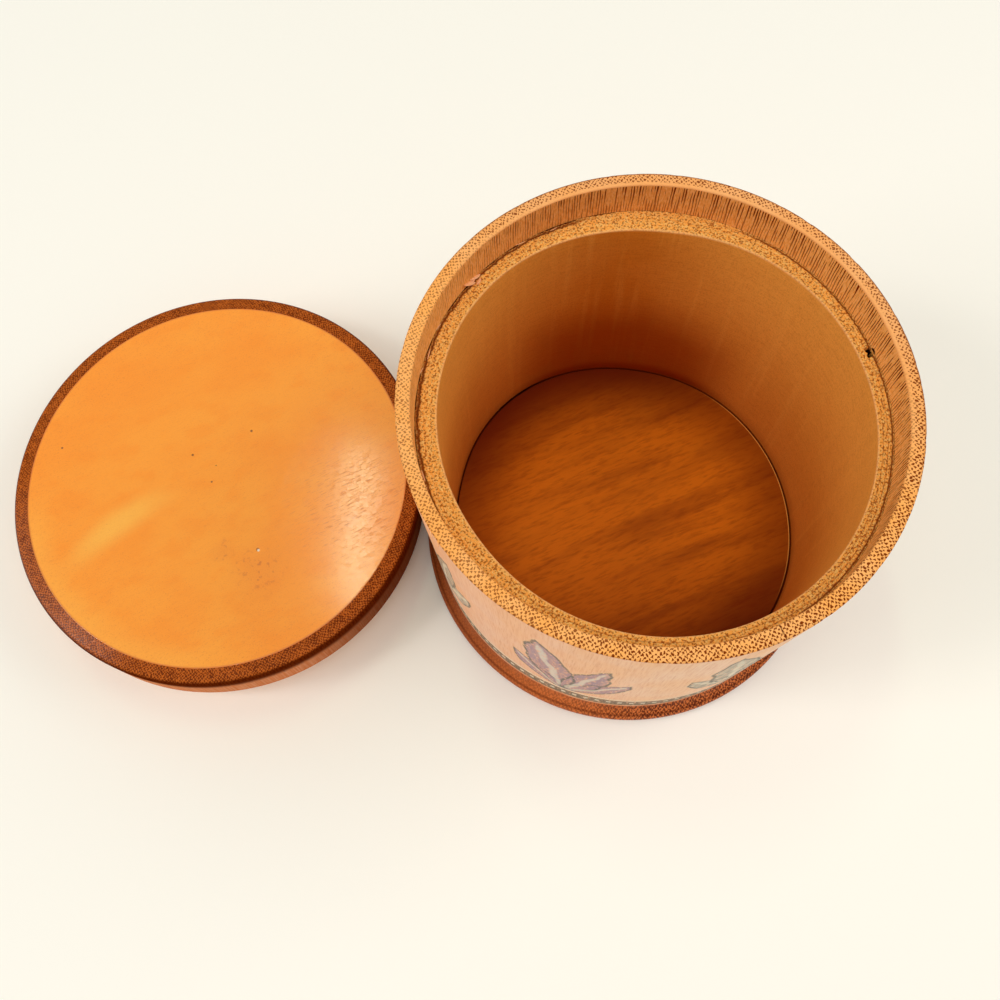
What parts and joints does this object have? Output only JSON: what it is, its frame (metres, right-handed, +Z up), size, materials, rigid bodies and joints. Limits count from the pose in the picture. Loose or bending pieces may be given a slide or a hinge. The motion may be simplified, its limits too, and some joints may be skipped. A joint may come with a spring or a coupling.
{
  "type": "tea canister",
  "caption": "Round bamboo tea canister with an open mouth, a tapered printed wall and a stained flared foot; its plug-in lid with an orange panel lies beside it.",
  "frame": {"origin": "on the canister's axis, on the flat underside that it stands on", "axes": "+Z up along the canister's axis, +X away from the lid, which lies on the -X side, +Y away from the viewer of the picture"},
  "size_m": [0.2, 0.1093, 0.0852],
  "materials": {
    "shell_bamboo": "sanded bamboo, dotted end grain on the rim, a print on the wall, brown stain on the foot",
    "sleeve_bamboo": "satin varnish over turned bamboo",
    "floor_wood": "oiled brown wood, straight grain",
    "lid_edge": "brown stained bamboo end grain, satin",
    "lid_face": "orange satin varnish over fine pored wood",
    "spigot_bamboo": "bare turned bamboo"
  },
  "bodies": {
    "canister": {"outer_shell": "shell_bamboo", "inner_sleeve": "sleeve_bamboo", "floor_disc": "floor_wood"},
    "lid": {"lid_ring": "lid_edge", "lid_panel": "lid_face", "lid_spigot": "spigot_bamboo"}
  },
  "joints": [
    {"name": "lid_lift", "type": "slide", "parent": "canister", "child": "lid", "axis": [0, 0, 1], "range_m": [0, 0.12]}
  ]
}
